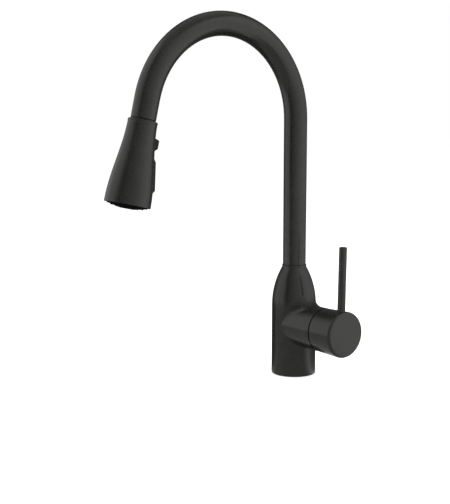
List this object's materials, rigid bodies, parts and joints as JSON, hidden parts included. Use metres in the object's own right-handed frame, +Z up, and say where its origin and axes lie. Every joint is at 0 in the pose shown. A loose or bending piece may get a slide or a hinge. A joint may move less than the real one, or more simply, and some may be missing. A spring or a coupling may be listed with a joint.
{
  "type": "pull-down kitchen faucet",
  "caption": "Single-lever kitchen faucet: upright body with side lever, tall gooseneck that swivels, and a bell-shaped spray head that pulls down on a hose.",
  "frame": {"origin": "on the riser's axis, at the top of the deck that the body stands on", "axes": "+Z up along the riser; the gooseneck reaches towards -Y; the lever's hub points towards +X"},
  "size_m": [0.1198, 0.2941, 0.5102],
  "materials": {
    "black_metal": "satin black coating",
    "dark_trim": "satin moulded plastic",
    "black_rubber": "matte",
    "brass": "machined",
    "steel": "machined",
    "white_plastic": "moulded",
    "ceramic": "lapped, stands in for ceramic",
    "hose_sleeve": "braided sleeve"
  },
  "bodies": {
    "base": {"valve_body": "black_metal", "base_gasket": "black_rubber", "mounting_shank": "brass", "inlet_block": "brass", "cartridge_base": "white_plastic", "cartridge_seals": "black_rubber", "cartridge_housing": "white_plastic", "fixed_disc": "ceramic", "cartridge_nut": "brass", "bonnet": "black_metal", "swivel_bushes": "white_plastic", "slip_washer": "dark_trim"},
    "rotor": {"lever_carrier": "white_plastic", "stem_pin": "steel"},
    "flow_disc": {"moving_disc": "ceramic", "disc_driver": "white_plastic"},
    "handle": {"lever_stem": "steel", "handle_hub": "black_metal", "hub_set_screw": "steel", "set_screw_plug": "dark_trim", "lever_rod": "black_metal"},
    "spout": {"gooseneck": "black_metal", "spout_stem": "brass", "swivel_oring": "black_rubber", "retaining_ring": "steel", "dock_bush": "dark_trim", "pull_hose": "hose_sleeve", "hose_end_fitting": "brass"},
    "spray_head": {"head_shell": "black_metal", "head_top_ring": "black_metal", "inlet_spigot": "white_plastic", "hose_ferrule": "brass", "inlet_washer": "black_rubber", "check_valve": "white_plastic", "valve_core": "white_plastic", "rocker_pin": "steel", "face_ring": "dark_trim", "spray_face": "black_rubber", "aerator": "dark_trim", "pause_spring": "steel"},
    "pause_button": {"pause_button": "dark_trim"},
    "mode_rocker": {"mode_rocker": "dark_trim"},
    "lock_nut": {"rubber_washer": "black_rubber", "steel_washer": "steel", "lock_nut": "brass", "clamp_screws": "steel"}
  },
  "joints": [
    {"name": "lever_turn", "type": "hinge", "parent": "base", "child": "rotor", "pos_m": [0.04166, 0, 0.0622], "axis": [1, 0, 0], "range_deg": [-45, 45]},
    {"name": "lever_lift", "type": "hinge", "parent": "rotor", "child": "handle", "pos_m": [0.04166, 0, 0.0622], "axis": [0, 1, 0], "range_deg": [0, 22]},
    {"name": "flow_slide", "type": "slide", "parent": "rotor", "child": "flow_disc", "axis": [0, 0, 1], "range_m": [0, 0.0044]},
    {"name": "spout_swivel", "type": "hinge", "parent": "base", "child": "spout", "pos_m": [0, 0, 0.115], "axis": [0, 0, 1], "continuous": true},
    {"name": "head_pull", "type": "slide", "parent": "spout", "child": "spray_head", "axis": [0, -0.2328, -0.9725], "range_m": [0, 0.45], "stiffness_N_per_m": 20, "springref_m": -0.25, "deforming": ["pull_hose"]},
    {"name": "pause_press", "type": "slide", "parent": "spray_head", "child": "pause_button", "axis": [0, -0.9725, 0.2328], "range_m": [0, 0.0015], "stiffness_N_per_m": 300, "springref_m": -0.001, "deforming": ["pause_spring"]},
    {"name": "mode_rock", "type": "hinge", "parent": "spray_head", "child": "mode_rocker", "pos_m": [0, -0.2178, 0.25382], "axis": [1, 0, 0], "range_deg": [-4, 4]},
    {"name": "nut_travel", "type": "slide", "parent": "base", "child": "lock_nut", "axis": [0, 0, 1], "range_m": [-0.075, 0.02]}
  ],
  "couplings": [
    {"joint": "flow_slide", "follows": "lever_lift", "m_per_rad": 0.0108}
  ]
}
